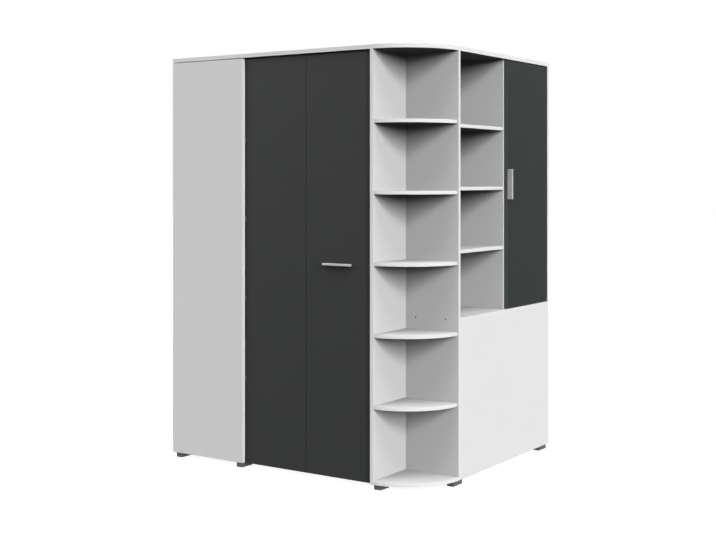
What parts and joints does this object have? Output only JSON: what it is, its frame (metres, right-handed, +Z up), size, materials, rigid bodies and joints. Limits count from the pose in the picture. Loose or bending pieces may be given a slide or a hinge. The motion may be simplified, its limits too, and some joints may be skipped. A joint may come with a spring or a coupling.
{
  "type": "corner wardrobe",
  "caption": "Walk-in corner wardrobe with a folding door, a quarter-round shelf tower, an open side bay and a small side cupboard, with linen shelves and a clothes rail inside.",
  "frame": {"origin": "on the floor, at the middle of the wardrobe's bounding box with its handles", "axes": "+Z up; -Y is the front with the folding door; +X is the side with the open bay and the small cupboard door; the -X and +Y sides stand at the walls"},
  "size_m": [1.415, 1.172, 1.872],
  "materials": {
    "white_board": "white melamine-faced board, satin",
    "anthracite_board": "anthracite melamine-faced board, satin",
    "hardboard": "white-faced hardboard, matt",
    "satin_aluminium": "brushed and anodised",
    "zinc_steel": "zinc plated, satin",
    "chrome_tube": "polished",
    "grey_plastic": "moulded, fine grain",
    "dark_plastic": "moulded, fine grain"
  },
  "bodies": {
    "carcass": {"top_board": "white_board", "left_side_panel": "white_board", "front_left_panel": "white_board", "hinge_stile": "white_board", "column_back_panel": "white_board", "column_bottom_board": "white_board", "column_shelf_1": "white_board", "column_shelf_2": "white_board", "column_shelf_3": "white_board", "tower_left_panel": "white_board", "tower_back_panel": "white_board", "tower_bottom_board": "white_board", "tower_shelf_1": "white_board", "tower_shelf_2": "white_board", "tower_shelf_3": "white_board", "tower_shelf_4": "white_board", "tower_shelf_5": "white_board", "lower_right_panel": "white_board", "lower_bottom_board": "white_board", "mid_board": "white_board", "outer_right_panel": "white_board", "inner_back_panel": "white_board", "cupboard_divider": "white_board", "open_shelf_1": "white_board", "open_shelf_2": "white_board", "open_shelf_3": "white_board", "cupboard_shelf_1": "white_board", "cupboard_shelf_2": "white_board", "rear_back_sheet": "hardboard", "foot_front_left": "dark_plastic", "foot_front_stile": "dark_plastic", "foot_tower_front": "dark_plastic", "foot_tower_right": "dark_plastic", "foot_right_rear": "dark_plastic", "foot_left_rear": "dark_plastic", "foot_inner_rear": "dark_plastic", "clothes_rail": "chrome_tube", "rail_socket_left": "grey_plastic", "rail_socket_right": "grey_plastic", "guide_track": "grey_plastic", "jamb_hinge_1_frame_half": "zinc_steel", "jamb_hinge_2_frame_half": "zinc_steel", "jamb_hinge_3_frame_half": "zinc_steel", "jamb_hinge_4_frame_half": "zinc_steel", "cupboard_hinge_1_frame_half": "zinc_steel", "cupboard_hinge_2_frame_half": "zinc_steel"},
    "left_leaf": {"left_door_leaf": "anthracite_board", "jamb_hinge_1_door_half": "zinc_steel", "jamb_hinge_2_door_half": "zinc_steel", "jamb_hinge_3_door_half": "zinc_steel", "jamb_hinge_4_door_half": "zinc_steel", "fold_hinge_left_half": "zinc_steel"},
    "right_leaf": {"right_door_leaf": "anthracite_board", "fold_hinge_right_half": "zinc_steel", "guide_pin": "grey_plastic", "leaf_handle": "satin_aluminium"},
    "small_door": {"cupboard_door": "anthracite_board", "cupboard_handle": "satin_aluminium", "cupboard_hinge_1_door_half": "zinc_steel", "cupboard_hinge_2_door_half": "zinc_steel"}
  },
  "joints": [
    {"name": "leaf_swing", "type": "hinge", "parent": "carcass", "child": "left_leaf", "pos_m": [-0.276, -0.5555, 0.9465], "axis": [0, 0, -1], "range_deg": [0, 88]},
    {"name": "leaf_fold", "type": "hinge", "parent": "left_leaf", "child": "right_leaf", "pos_m": [0.0595, -0.542, 0.9355], "axis": [0, 0, 1], "range_deg": [0, 176]},
    {"name": "small_door_swing", "type": "hinge", "parent": "carcass", "child": "small_door", "pos_m": [0.677, 0.5615, 1.282], "axis": [0, 0, 1], "range_deg": [0, 90]}
  ],
  "couplings": [
    {"joint": "leaf_fold", "follows": "leaf_swing", "ratio": 2}
  ]
}
